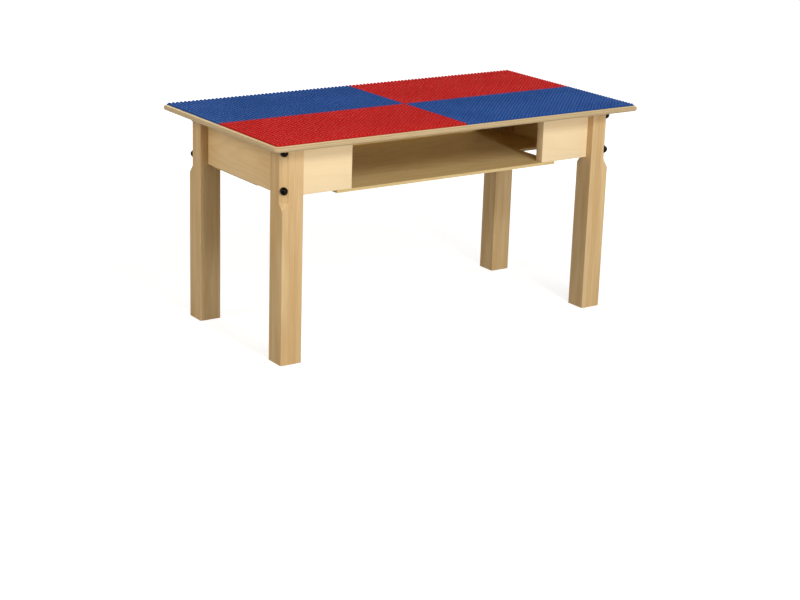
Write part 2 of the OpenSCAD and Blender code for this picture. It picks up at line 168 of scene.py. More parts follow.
class Graph:
    """The node tree of one material, or of the world."""

    def __init__(self, owner: bpy.types.Material | bpy.types.World) -> None:
        """Turns on the nodes of a material or a world."""
        owner.use_nodes = True
        self.owner = owner
        self.tree = owner.node_tree

    def feed(self, socket: bpy.types.NodeSocket, value: object) -> None:
        """Links a wrapped socket to an input, or sets the input to a plain value."""
        if isinstance(value, Value):
            self.tree.links.new(value.socket, socket)
        elif isinstance(value, tuple) and len(socket.default_value) == 4:
            socket.default_value = (*value, 1.0)
        else:
            socket.default_value = value

    def node(
        self,
        kind: str,
        settings: dict[str, object],
        sockets: dict[str | int, object],
        output: str | int = 0,
    ) -> Value:
        """Adds a node: its settings first, then its sockets.

        Args:
            kind: the node's type.
            settings: the node's own properties by name.
            sockets: values or wrapped sockets, by the input's name or number.
            output: the output that the result stands for.

        Returns:
            That output.
        """
        made = self.tree.nodes.new(kind)
        for name, setting in settings.items():
            setattr(made, name, setting)
        for name, value in sockets.items():
            self.feed(made.inputs[name], value)
        return Value(self, made.outputs[output])

    def place(self) -> Value:
        """The point on the object, in metres."""
        return self.node("ShaderNodeTexCoord", {}, {}, "Object")

    def along(self, point: Value, axis: Axis) -> Value:
        """How far a point lies along an axis, in metres."""
        return self.node("ShaderNodeSeparateXYZ", {}, {0: point}).output(axis.name)

    def length(self, vector: Value) -> Value:
        """How long a vector is."""
        return self.node("ShaderNodeVectorMath", {"operation": "LENGTH"}, {0: vector}, "Value")

    def mapped(self, point: Value, shift: Triple, turn: Triple, scale: Triple) -> Value:
        """A point scaled, then turned, then shifted."""
        sockets = {"Vector": point, "Location": shift, "Rotation": turn, "Scale": scale}
        return self.node("ShaderNodeMapping", {"vector_type": "POINT"}, sockets)

    def mix(self, share: Value | float, first: object, second: object) -> Value:
        """A colour on the way from the first to the second.

        Args:
            share: 0 gives the first colour and 1 the second.
            first: a colour, or the socket of one.
            second: a colour, or the socket of one.

        Returns:
            The mixed colour.
        """
        settings = {"data_type": "RGBA", "clamp_factor": True}
        sockets = {0: share, MIX_FIRST: first, MIX_SECOND: second}
        return self.node("ShaderNodeMix", settings, sockets, MIX_RESULT)

    def shade(self, colour: Value, strength: Value | float) -> Value:
        """A colour made darker or lighter by a number."""
        sockets = {0: colour, "Scale": strength}
        return self.node("ShaderNodeVectorMath", {"operation": "SCALE"}, sockets)

    def bump(self, height: Value, strength: float, depth: float) -> Value:
        """A surface normal from a height.

        Args:
            height: the height, 0 to 1.
            strength: how much of it shows.
            depth: how deep the height goes, in metres.

        Returns:
            The normal.
        """
        sockets = {"Height": height, "Strength": strength, "Distance": depth}
        return self.node("ShaderNodeBump", {}, sockets, "Normal")

    def finish(self, **inputs: object) -> bpy.types.Material:
        """Feeds the principled shader by the names of its inputs and gives the material."""
        shader = self.tree.nodes["Principled BSDF"]
        for name, value in inputs.items():
            self.feed(shader.inputs[name.replace("_", " ")], value)
        return self.owner


def seed_shift(seed: int) -> Triple:
    """Where in the noise a piece with that number lies, far from every other piece."""
    return tuple(step * seed + start for step, start in zip(SEED_STEP, SEED_START))


# ---- finishes ----


@dataclass(frozen=True)
class Layer:
    """One layer of stretched noise in a surface.

    It turns over so many times in a metre along the grain and across it, has so many
    finer layers of detail, and marks the surface where it rises from low to high.
    """

    lengthways: float
    crossways: float
    detail: float = 2.0
    low: float = 0.0
    high: float = 1.0

    def noise(self, graph: Graph, point: Value, seed: int, grain: Axis = Axis.Z) -> Value:
        """The layer's soft noise, from 0 to 1.

        Args:
            graph: the material's nodes.
            point: where the noise is read.
            seed: the number of the piece, which picks its place in the noise.
            grain: the direction of the grain.

        Returns:
            The noise.
        """
        scale = grain.triple(self.lengthways, self.crossways)
        where = graph.mapped(point, seed_shift(seed), NO_TURN, scale)
        sockets = {"Vector": where, "Scale": 1.0, "Detail": self.detail}
        return graph.node("ShaderNodeTexNoise", {}, sockets)

    def marks(self, noise: Value) -> Value:
        """How much that noise marks the surface: a smooth rise from low to high."""
        return noise.step_up(self.low, self.high)


@dataclass(frozen=True)
class SolidWood:
    """Solid hardwood sawn from a log: growth rings about a pith, fibres and flecks.

    The pith runs along the grain, at one of pith_places distances from the piece's
    middle, pith_step apart from pith_near up, and is turned by up to pith_lean radians
    about both other axes. The tone makes one piece lighter or darker than the next.
    """

    pale: Colour = (0.680, 0.488, 0.258)
    warm: Colour = (0.570, 0.372, 0.170)
    late: Colour = (0.425, 0.246, 0.096)
    grain: Axis = Axis.Z
    tone: float = 1.0
    ring: float = 0.0034
    ring_strength: float = 0.30
    ring_wander: float = 0.007
    late_rise: Pair = (0.35, 0.88)
    late_fall: Pair = (0.90, 1.0)
    year_rate: float = 0.31
    year_rise: Pair = (0.30, 0.75)
    pith_near: float = 0.062
    pith_step: float = 0.013
    pith_places: int = 3
    pith_turn: float = 2.4
    pith_start: float = 0.6
    pith_lean: float = 0.018
    lean_turn: float = 3.1
    wander: Layer = Layer(3.0, 28.0)
    fibres: Layer = Layer(16.0, 950.0, 3.0, 0.40, 0.78)
    fibre_strength: float = 0.34
    bands: Layer = Layer(4.0, 46.0, 2.0, 0.32, 0.70)
    flecks: Layer = Layer(75.0, 1500.0, 1.0, 0.66, 0.74)
    fleck_strength: float = 0.16
    fleck_depth: float = 0.5
    clouds: Layer = Layer(9.0, 30.0, 3.0)
    cloud_seed: int = 40
    cloud_dark: float = 0.955
    cloud_range: float = 0.10
    roughness: float = 0.46
    roughness_range: float = 0.16
    gloss: float = 0.15
    coat: float = 0.03
    coat_roughness: float = 0.32
    relief: float = 0.20
    relief_depth: float = 0.0003

    def from_pith(self, graph: Graph, point: Value, seed: int, centre: Triple) -> Value:
        """The distance of a point from the pith, square to the grain.

        Args:
            graph: the material's nodes.
            point: the point.
            seed: the number of the piece, which picks the pith's bearing and distance.
            centre: the middle of the piece, in metres.

        Returns:
            The distance, in metres.
        """
        bearing = self.pith_turn * seed + self.pith_start
        reach = self.pith_near + self.pith_step * (seed % self.pith_places)
        first, second = [axis.value for axis in Axis if axis is not self.grain]
        pith = [0.0, 0.0, 0.0]
        pith[first] = -centre[first] + reach * math.cos(bearing)
        pith[second] = -centre[second] + reach * math.sin(bearing)
        lean = self.grain.triple(0.0, self.pith_lean * math.sin(self.lean_turn * seed))
        log_point = graph.mapped(point, tuple(pith), lean, TRUE_SCALE)
        square = {0: log_point, 1: self.grain.triple(0.0, 1.0)}
        section = graph.node("ShaderNodeVectorMath", {"operation": "MULTIPLY"}, square)
        return graph.length(section)

    def ring_marks(self, graph: Graph, point: Value, seed: int, centre: Triple) -> Value:
        """How dark the growth rings are at a point, from 0 to 1.

        The number of a ring is the distance from the pith over the ring's width, bent by
        slow noise. The last part of each ring is darker, more so in some years.

        Args:
            graph: the material's nodes.
            point: the point.
            seed: the number of the piece.
            centre: the middle of the piece, in metres.

        Returns:
            The darkness.
        """
        bend = self.wander.noise(graph, point, seed, self.grain) * self.ring_wander
        rings = (self.from_pith(graph, point, seed, centre) + bend) / self.ring
        growth = rings.fraction()
        late = growth.step_up(*self.late_rise) * (1 - growth.step_up(*self.late_fall))
        sockets = {"W": rings * self.year_rate, "Scale": 1.0}
        year = graph.node("ShaderNodeTexNoise", {"noise_dimensions": "1D"}, sockets)
        return late * year.step_up(*self.year_rise)

    def material(self, name: str, seed: int, centre: Triple) -> bpy.types.Material:
        """Wood cut from its own place in a log, so growth rings cross it as gentle arcs.

        Args:
            name: the material's name.
            seed: the number of the piece.
            centre: the middle of the piece, in metres.

        Returns:
            The material.
        """
        graph = Graph(bpy.data.materials.new(name))
        point = graph.place()
        fibre = self.fibres.noise(graph, point, seed, self.grain)
        band = self.bands.noise(graph, point, seed, self.grain)
        fleck = self.flecks.marks(self.flecks.noise(graph, point, seed, self.grain))
        cloud = self.clouds.noise(graph, point, seed + self.cloud_seed, self.grain)
        body = graph.mix(self.bands.marks(band), self.pale, self.warm)
        rings = self.ring_marks(graph, point, seed, centre) * self.ring_strength
        lines = self.fibres.marks(fibre) * self.fibre_strength + fleck * self.fleck_strength
        grained = graph.mix((rings + lines).held(0.0, 1.0), body, self.late)
        light = (self.cloud_dark + cloud * self.cloud_range) * self.tone
        relief = fibre - fleck * self.fleck_depth
        return graph.finish(
            Base_Color=graph.shade(grained, light),
            Roughness=self.roughness + (fibre - 0.5) * self.roughness_range,
            Specular_IOR_Level=self.gloss,
            Coat_Weight=self.coat,
            Coat_Roughness=self.coat_roughness,
            Normal=graph.bump(relief, self.relief, self.relief_depth),
        )


@dataclass(frozen=True)
class Plywood:
    """Birch plywood: quiet rotary-cut faces, and plies with glue lines on its edges.

    The outer plies count as face down to face_share of their thickness, and glue_half
    is the half width of a glue line, as shares of a ply. The whole edge is darker than
    the faces by the factor edge_tone.
    """

    face: Colour
    shade: Colour
    cross: Colour = (0.560, 0.370, 0.180)
    glue: Colour = (0.230, 0.130, 0.060)
    flat: Axis = Axis.Y
    grain: Axis = Axis.X
    plies: int = 13
    skin_share: float = 0.02
    face_share: float = 0.6
    face_soft: float = 0.1
    glue_half: Pair = (0.04, 0.13)
    edge_contrast: float = 0.55
    edge_tone: float = 0.94
    figure: float = 0.30
    veins: Layer = Layer(1.1, 8.5)
    vein_count: float = 24.0
    vein_rise: Pair = (0.30, 0.85)
    vein_fall: Pair = (0.88, 1.0)
    fibres: Layer = Layer(14.0, 620.0, 3.0, 0.42, 0.80)
    fibre_strength: float = 0.42
    pores: Layer = Layer(60.0, 1300.0, 1.0, 0.68, 0.76)
    pore_strength: float = 0.25
    clouds: Layer = Layer(2.5, 11.0, 3.0)
    cloud_seed: int = 60
    cloud_dark: float = 0.95
    cloud_range: float = 0.10
    speckles: Layer = Layer(700.0, 700.0)
    roughness: float = 0.44
    roughness_range: float = 0.14
    edge_roughness: float = 0.10
    gloss: float = 0.15
    coat: float = 0.03
    coat_roughness: float = 0.30
    relief: float = 0.14
    relief_depth: float = 0.00025
    glue_depth: float = 0.4

    def veneer(self, graph: Graph, point: Value, seed: int, fibre: Value) -> Value:
        """The colour of a face: contour lines of slow noise, as a peeled veneer has.

        Args:
            graph: the material's nodes.
            point: the point.
            seed: the number of the piece.
            fibre: the noise of the fibres there.

        Returns:
            The colour.
        """
        vein = (self.veins.noise(graph, point, seed, self.grain) * self.vein_count).fraction()
        veins = vein.step_up(*self.vein_rise) * (1 - vein.step_up(*self.vein_fall))
        pores = self.pores.marks(self.pores.noise(graph, point, seed, self.grain))
        cloud = self.clouds.noise(graph, point, seed + self.cloud_seed, self.grain)
        lines = self.fibres.marks(fibre) * self.fibre_strength + pores * self.pore_strength
        tone = (veins * self.figure + lines).held(0.0, 1.0)
        marked = graph.mix(tone, self.face, self.shade)
        return graph.shade(marked, self.cloud_dark + cloud * self.cloud_range)

    def material(self, name: str, seed: int, low: float, thick: float) -> bpy.types.Material:
        """Plywood whose plies lie between low and low + thick on its flat axis.

        The number of a ply is the whole part of the depth over the ply's thickness. Every
        second ply shows its end grain on the edge, and a thin glue line parts two plies.

        Args:
            name: the material's name.
            seed: the number of the piece.
            low: where the board's lower face lies on the flat axis, in metres.
            thick: the thickness of the board, in metres.

        Returns:
            The material.
        """
        graph = Graph(bpy.data.materials.new(name))
        point = graph.place()
        ply = thick / self.plies
        skin, rim = self.skin_share * ply, self.face_share * ply
        depth = (graph.along(point, self.flat) - low).held(skin, thick - skin)
        layers = depth / ply
        inside = depth.between(rim, thick - rim, self.face_soft * ply)
        odd = (layers * 0.5).fraction().math("GREATER_THAN", 0.5) * inside
        seam = (layers + 0.5).fraction() - 0.5
        glued = (1 - seam.math("ABSOLUTE").step_up(*self.glue_half)) * inside
        fibre = self.fibres.noise(graph, point, seed, self.grain)
        veneer = self.veneer(graph, point, seed, fibre)
        speckle = self.speckles.noise(graph, point, seed)
        ends = graph.mix(speckle, self.shade, self.cross)
        edged = graph.mix(odd * self.edge_contrast, veneer, ends)
        glued_edge = graph.mix(glued * self.edge_contrast, edged, self.glue)
        edge_light = 1.0 - inside * (1.0 - self.edge_tone)
        fibre_roughness = (fibre - 0.5) * self.roughness_range
        relief = fibre - glued * self.glue_depth
        return graph.finish(
            Base_Color=graph.shade(glued_edge, edge_light),
            Roughness=self.roughness + fibre_roughness + odd * self.edge_roughness,
            Specular_IOR_Level=self.gloss,
            Coat_Weight=self.coat,
            Coat_Roughness=self.coat_roughness,
            Normal=graph.bump(relief, self.relief, self.relief_depth),
        )


@dataclass(frozen=True)
class MouldedPlastic:
    """Coloured moulded plastic: even colour, faint flow marks and a satin skin.

    Its heights are shares of a stud's height: the colour is full from one share above the
    deck, and below that the grooves get painted shade with a little dust; the side gets a
    painted shadow, dark up to the first and full from the second of side_ends below the deck.
    """

    colour: Colour
    deep: Colour
    groove_shade: float = 0.80
    unshaded_from: float = 0.67
    seat_shade: float = 0.50
    side_ends: Pair = (0.6, 0.1)
    flow: Layer = Layer(9.0, 9.0, 3.0, 0.30, 0.72)
    skin: Layer = Layer(1400.0, 1400.0)
    roughness: float = 0.56
    flow_roughness: float = 0.12
    skin_roughness: float = 0.08
    gloss: float = 0.04
    relief: float = 0.08
    relief_depth: float = 0.00008

    def material(self, name: str, seed: int, deck: float, rise: float) -> bpy.types.Material:
        """The plastic of one plate, a little darker in the grooves between its studs.

        At the deck the colour is darkened by painted shade, with a little dust, in the grooves,
        and low on the plate's side by a painted shadow where the plate sits on the board.

        Args:
            name: the material's name.
            seed: the number of the plate.
            deck: the height of the plate between its studs, in metres.
            rise: the height of a stud, in metres.

        Returns:
            The material.
        """
        graph = Graph(bpy.data.materials.new(name))
        point = graph.place()
        flow = self.flow.noise(graph, point, seed)
        skin = self.skin.noise(graph, point, seed)
        height = graph.along(point, Axis.Z)
        unshaded = height.step_up(deck, deck + rise * self.unshaded_from)
        side = height.step_up(*(deck - rise * share for share in self.side_ends))
        # painted shade, with a little dust, in the grooves between the studs
        groove_shade_and_dust = self.groove_shade + unshaded * (1.0 - self.groove_shade)
        # painted shadow low on the plate's side, where it sits on the board
        shadow = self.seat_shade + side * (1.0 - self.seat_shade)
        colour = graph.mix(self.flow.marks(flow), self.colour, self.deep)
        flow_roughness = (flow - 0.5) * self.flow_roughness
        skin_roughness = (skin - 0.5) * self.skin_roughness
        return graph.finish(
            Base_Color=graph.shade(colour, groove_shade_and_dust * shadow),
            Roughness=self.roughness + flow_roughness + skin_roughness,
            Specular_IOR_Level=self.gloss,
            Normal=graph.bump(skin, self.relief, self.relief_depth),
        )


@dataclass(frozen=True)
class PlatedSteel:
    """Plated steel with a faint mottle and fine scuffs."""

    bright: Colour
    dull: Colour
    roughness: float = 0.36
    mottle: Layer = Layer(420.0, 420.0, 3.0, 0.35, 0.70)
    mottle_roughness: float = 0.20
    scuffs: Layer = Layer(260.0, 1900.0)
    scuff_seed: int = 5
    scuff_roughness: float = 0.10
    metallic: float = 1.0
    relief: float = 0.10
    relief_depth: float = 0.0001

    def material(self, name: str, seed: int) -> bpy.types.Material:
        """The plating of one kind of fastener.

        Args:
            name: the material's name.
            seed: the number of the finish.

        Returns:
            The material.
        """
        graph = Graph(bpy.data.materials.new(name))
        point = graph.place()
        mottle = self.mottle.noise(graph, point, seed)
        scuff = self.scuffs.noise(graph, point, seed + self.scuff_seed)
        mottle_roughness = (mottle - 0.5) * self.mottle_roughness
        scuff_roughness = (scuff - 0.5) * self.scuff_roughness
        return graph.finish(
            Base_Color=graph.mix(self.mottle.marks(mottle), self.bright, self.dull),
            Metallic=self.metallic,
            Roughness=self.roughness + mottle_roughness + scuff_roughness,
            Normal=graph.bump(scuff, self.relief, self.relief_depth),
        )


# ---- meshes ----


def shell(
    name: str, points: np.ndarray, faces: list[np.ndarray], sharp: float = 40.0
) -> bpy.types.Object:
    """A mesh from arrays of points and faces, smooth but for its sharp edges.

    Args:
        name: the piece's name.
        points: one row of three numbers a point.
        faces: arrays of point numbers, one row a face; each array has its own face size.
        sharp: the angle past which an edge stays sharp, in degrees.

    Returns:
        The object, at the origin and in the scene.
    """
    corners = np.concatenate([group.ravel() for group in faces])
    counts = np.concatenate([np.full(len(group), group.shape[1]) for group in faces])
    starts = np.concatenate([[0], np.cumsum(counts)[:-1]])
    mesh = bpy.data.meshes.new(name)
    mesh.vertices.add(len(points))
    mesh.vertices.foreach_set("co", np.asarray(points, np.float32).ravel())
    mesh.loops.add(len(corners))
    mesh.loops.foreach_set("vertex_index", corners.astype(np.int32))
    mesh.polygons.add(len(counts))
    mesh.polygons.foreach_set("loop_start", starts.astype(np.int32))
    mesh.update(calc_edges=True)
    mesh.validate()
    mesh.shade_smooth()
    mesh.set_sharp_from_angle(angle=math.radians(sharp))
    piece = bpy.data.objects.new(name, mesh)
    bpy.context.scene.collection.objects.link(piece)
    return piece


def ring_walls(rings: np.ndarray) -> np.ndarray:
    """Quads between closed rings of points.

    Each quad joins neighbours k and k + 1 of one ring to the same two of the next, so
    with rings that run anticlockwise, the lower one first, every face points outwards.

    Args:
        rings: point numbers, one row a ring; with more axes, one such stack an object.

    Returns:
        One row of four point numbers a face.
    """
    lower, upper = rings[..., :-1, :], rings[..., 1:, :]
    quads = [lower, np.roll(lower, -1, -1), np.roll(upper, -1, -1), upper]
    return np.stack(quads, -1).reshape(-1, 4)


def ringed_board(
    name: str, low: Vector, high: Vector, core: float, profile: np.ndarray, steps: int
) -> bpy.types.Object:
    """A flat board whose edge follows a profile.

    A rounded rectangle with corners of radius core is grown outwards by the profile's
    first number at the height of its second: a point is the middle of its corner's arc
    plus (core + growth) times its direction. The widest ring fills the box exactly.

    Args:
        name: the piece's name.
        low: the lowest corner of the board's box.
        high: the highest corner.
        core: the corner radius of the rectangle before it grows.
        profile: growth and height, one row a ring, from the bottom up.
        steps: facets in each corner's arc.

    Returns:
        The board.
    """
    widest = profile[:, 0].max() + core
    middle = (np.array(low)[:2] + np.array(high)[:2]) / 2
    half = (np.array(high)[:2] - np.array(low)[:2]) / 2 - widest
    quarter = np.linspace(0.0, math.pi / 2, steps + 1)
    turns = (quarter[None, :] + np.arange(4)[:, None] * math.pi / 2).ravel()
    signs = np.repeat([[1, 1], [-1, 1], [-1, -1], [1, -1]], steps + 1, axis=0)
    ways = np.stack([np.cos(turns), np.sin(turns)], -1)
    flat = middle + signs * half + (core + profile[:, :1, None]) * ways
    heights = np.broadcast_to(profile[:, 1:, None], (*flat.shape[:2], 1))
    points = np.concatenate([flat, heights], -1).reshape(-1, 3)
    rings = np.arange(len(points)).reshape(len(profile), -1)
    faces = [ring_walls(rings), rings[:1, ::-1], rings[-1:]]
    return shell(name, points, faces)


def half_round(z: float, radius: float, steps: int) -> np.ndarray:
    """Profile of an edge that is rounded right over, about a middle height.

    Growth is radius times the cosine, and height z plus radius times the sine, of an
    angle from straight down to straight up.
    """
    turn = np.linspace(-math.pi / 2, math.pi / 2, steps + 1)
    return np.stack([radius * np.cos(turn), z + radius * np.sin(turn)], -1)


def eased(low: float, high: float, radius: float, steps: int) -> np.ndarray:
    """Profile of a square edge whose two corners are eased.

    It is a half round cut in two at its middle, with its halves moved apart to the top
    and the bottom of the board.
    """
    whole = half_round(0.0, radius, 2 * steps)
    lower, upper = whole[: steps + 1], whole[steps:]
    return np.concatenate([lower + [0.0, low + radius], upper + [0.0, high - radius]])


def dress(node: str, material: bpy.types.Material) -> None:
    """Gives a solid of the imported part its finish."""
    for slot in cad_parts[node].material_slots:
        slot.material = material
    log.info("dressed %s", node)


def stand_in(piece: bpy.types.Object, node: str, material: bpy.types.Material) -> None:
    """Puts a new piece in the place of a solid, with its finish.

    Args:
        piece: the new piece.
        node: the solid that it stands for.
        material: the finish.
    """
    piece.data.materials.append(material)
    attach(piece, BODY)
    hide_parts(node)
    log.info("built %s, %d faces", piece.name, len(piece.data.polygons))


def middle_of(node: str) -> Triple:
    """The middle of a solid's box."""
    low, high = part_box(node)
    return tuple((low + high) / 2)


# ---- sub-assemblies ----


@dataclass
class StuddedPlates:
    """Four building plates in a checker of red and blue, each with its field of studs.

    Each stud stands in a cell of one pitch. The plate's top is a lattice that splits each
    pitch in thirds, and twelve of its points lie on the edge of each cell, one for each
    side of a stud.
    """

    pitch: float = 0.008
    columns: int = 48
    rows: int = 24
    thirds: int = 3
    stud_radius: float = 0.00245
    stud_height: float = 0.0018
    stud_rim: float = 0.0003
    rim_steps: int = 2
    edge: float = 0.0004
    corner: float = 0.002
    sharp: float = 50.0
    on_arc: float = 1e-7
    rounding: float = 1e-9
    red: MouldedPlastic = MouldedPlastic((0.655, 0.024, 0.020), (0.592, 0.019, 0.016))
    blue: MouldedPlastic = MouldedPlastic((0.029, 0.108, 0.388), (0.022, 0.090, 0.337))
    reds: tuple[str, ...] = ("front_left", "back_right")
    blues: tuple[str, ...] = ("front_right", "back_left")
    cell_edge: tuple[tuple[int, int], ...] = (
        (3, 2), (3, 3), (2, 3), (1, 3), (0, 3), (0, 2),
        (0, 1), (0, 0), (1, 0), (2, 0), (3, 0), (3, 1),
    )

    def lattice(self, low: np.ndarray, high: np.ndarray) -> tuple[np.ndarray, np.ndarray]:
        """Points at thirds of the pitch, without the four inside each stud's cell.

        Points on the outline move in by the width of the bevelled edge.

        Args:
            low: the lowest corner of the plate's outline.
            high: the highest corner.

        Returns:
            The flat points, and their numbers on the lattice, with -1 where there is none.
        """
        across, up = self.thirds * self.columns + 1, self.thirds * self.rows + 1
        i, j = np.meshgrid(np.arange(across), np.arange(up), indexing="ij")
        used = (i % self.thirds == 0) | (j % self.thirds == 0)
        numbers = np.where(used, np.cumsum(used.ravel()).reshape(used.shape) - 1, -1)
        field_half = np.array([self.columns, self.rows]) * self.pitch / 2
        steps = np.stack([i[used], j[used]], -1) * self.pitch / self.thirds
        flat = steps + (low + high) / 2 - field_half
        return np.clip(flat, low + self.edge, high - self.edge), numbers

    def outline(self, numbers: np.ndarray) -> np.ndarray:
        """Numbers of the lattice's outer points, anticlockwise from its low corner."""
        return np.concatenate(
            [numbers[:-1, 0], numbers[-1, :-1], numbers[:0:-1, -1], numbers[0, :0:-1]]
        )

    def rounded(self, flat: np.ndarray, centre: np.ndarray, radius: float) -> np.ndarray:
        """Points of an outline, with those beyond a corner's arc moved onto it.

        Such a point moves straight towards the middle of the arc.
        """
        half = np.abs(flat - centre).max(0)
        reach = np.abs(flat - centre) - (half - radius)
        inside = (reach > -self.rounding).all(1)
        far = np.linalg.norm(reach, axis=1)
        pull = np.where(inside & (far > radius), radius / np.maximum(far, self.rounding), 1.0)
        moved = np.sign(flat - centre) * (half - radius + reach * pull[:, None])
        return np.where(inside[:, None], centre + moved, flat)

    def widened(self, flat: np.ndarray, centre: np.ndarray, half: np.ndarray) -> np.ndarray:
        """The top outline grown by the bevelled edge: each point moves straight out.

        A point on a side moves square to it, and a point on a corner straight away from
        the middle of its arc.
        """
        out = flat - centre
        near = np.abs(out) - (half - self.corner)
        furthest = near >= near.max(1)[:, None] - self.rounding
        way = np.where((near > self.on_arc).all(1)[:, None], near, furthest)
        way = way / np.linalg.norm(way, axis=1)[:, None]
        return flat + np.sign(out) * way * self.edge

    def stud_profile(self) -> np.ndarray:
        """Radius and height of a stud's rings: its foot, then an arc over its rim."""
        turn = np.linspace(0.0, math.pi / 2, self.rim_steps + 1)
        rim = np.stack([np.cos(turn) - 1, np.sin(turn) - 1], -1) * self.stud_rim
        rings = rim + [self.stud_radius, self.stud_height]
        return np.concatenate([[[self.stud_radius, 0.0]], rings])

    def studs(self, cells: np.ndarray, centre: np.ndarray, top: float) -> np.ndarray:
        """Points of all studs, by stud, ring and side.

        A point is its stud's centre plus the ring's radius times the cosine and sine of
        its angle, half a side after the first.

        Args:
            cells: column and row of each stud.
            centre: the middle of the plate.
            top: the height of the plate between its studs, in metres.

        Returns:
            The points, with four axes: stud, ring, side, and X, Y and Z.
        """
        sides = len(self.cell_edge)
        middles = centre + (cells + 0.5 - np.array([self.columns, self.rows]) / 2) * self.pitch
        turns = (np.arange(sides) + 0.5) * 2 * math.pi / sides
        ways = np.stack([np.cos(turns), np.sin(turns)], -1)
        profile = self.stud_profile()
        around = middles[:, None, None, :] + profile[None, :, :1, None] * ways
        heights = np.broadcast_to(top + profile[:, 1:, None], (*around.shape[:3], 1))
        return np.concatenate([around, heights], -1)

    def plate(self, quarter: str) -> bpy.types.Object:
        """One plate as a closed shell.

        Quads join the twelve lattice points about a cell to the foot of its stud, and
        each ring of the stud to the next. The outline steps down over the bevelled edge
        to the plate's foot.

        Args:
            quarter: the quarter of the table that it lies in.

        Returns:
            The plate.
        """
        low, high = (np.array(corner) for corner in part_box("stud_plate_" + quarter))
        top = high[2] - self.stud_height
        centre = (low[:2] + high[:2]) / 2
        flat, numbers = self.lattice(low[:2], high[:2])
        border = self.outline(numbers)
        flat[border] = self.rounded(flat[border], centre, self.corner - self.edge)
        outer = self.widened(flat[border], centre, (high[:2] - low[:2]) / 2)
        columns, rows = np.meshgrid(np.arange(self.columns), np.arange(self.rows), indexing="ij")
        cells = np.stack([columns.ravel(), rows.ravel()], -1)
        studs = self.studs(cells, centre, top)
        layers = [
            np.column_stack([flat, np.full(len(flat), top)]),
            studs.reshape(-1, 3),
            np.column_stack([outer, np.full(len(outer), top - self.edge)]),
            np.column_stack([outer, np.full(len(outer), low[2])]),
        ]
        first_stud, first_skirt, first_foot = np.cumsum([len(layer) for layer in layers])[:3]
        stud_numbers = first_stud + np.arange(studs[..., 0].size).reshape(studs.shape[:3])
        skirt = first_skirt + np.arange(len(border))
        foot = first_foot + np.arange(len(border))
        cell_points = cells[:, None, :] * self.thirds + np.array(self.cell_edge)
        cell_rims = numbers[cell_points[..., 0], cell_points[..., 1]]
        faces = [
            ring_walls(np.stack([cell_rims, stud_numbers[:, 0]], 1)),
            ring_walls(stud_numbers),
            ring_walls(np.stack([foot, skirt, border])),
            stud_numbers[:, -1],
            foot[None, ::-1],
        ]
        return shell("brick_plate_" + quarter, np.concatenate(layers), faces, self.sharp)

    def build(self) -> None:
        """Builds and dresses the four plates."""
        for seed, quarter in enumerate((*self.reds, *self.blues)):
            red = quarter in self.reds
            finish = self.red if red else self.blue
            slot = "plate_red" if red else "plate_blue"
            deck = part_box("stud_plate_" + quarter)[1].z - self.stud_height
            material = finish.material(f"{slot}_{quarter}", seed, deck, self.stud_height)
            stand_in(self.plate(quarter), "stud_plate_" + quarter, material)


@dataclass
class Tabletop:
    """Thin birch board under the plates, its edge rounded right over."""

    corner: float = 0.004
    facets: int = 12
    edge_facets: int = 16
    seed: int = 11
    finish: Plywood = Plywood(
        face=(0.770, 0.580, 0.330),
        shade=(0.640, 0.470, 0.250),
        cross=(0.420, 0.290, 0.130),
        flat=Axis.Z,
        grain=Axis.X,
        plies=7,
        edge_contrast=0.60,
        edge_tone=0.80,
        roughness=0.34,
    )

    def build(self) -> None:
        """Builds and dresses the board."""
        low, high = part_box("tabletop")
        thick = high.z - low.z
        profile = half_round((low.z + high.z) / 2, thick / 2, self.edge_facets)
        board = ringed_board("top_board", low, high, self.corner, profile, self.facets)
        material = self.finish.material("top_birch_board", self.seed, low.z, thick)
        stand_in(board, "tabletop", material)


@dataclass
class Legs:
    """Four square legs, each of its own hardwood and tone; the back two are darker by painted
    shade.
    """

    # front legs lighter, back legs darker: painted shade over the wood's own small variation
    tones_and_shade: tuple[float, ...] = (1.03, 1.02, 0.96, 0.94)
    first_seed: int = 1
    finish: SolidWood = SolidWood()

    def build(self) -> None:
        """Dresses the four legs."""
        for seed, (corner, tone) in enumerate(zip(CORNERS, self.tones_and_shade), self.first_seed):
            node = "leg_" + corner
            wood = replace(self.finish, tone=tone)
            dress(node, wood.material(node + "_wood", seed, middle_of(node)))


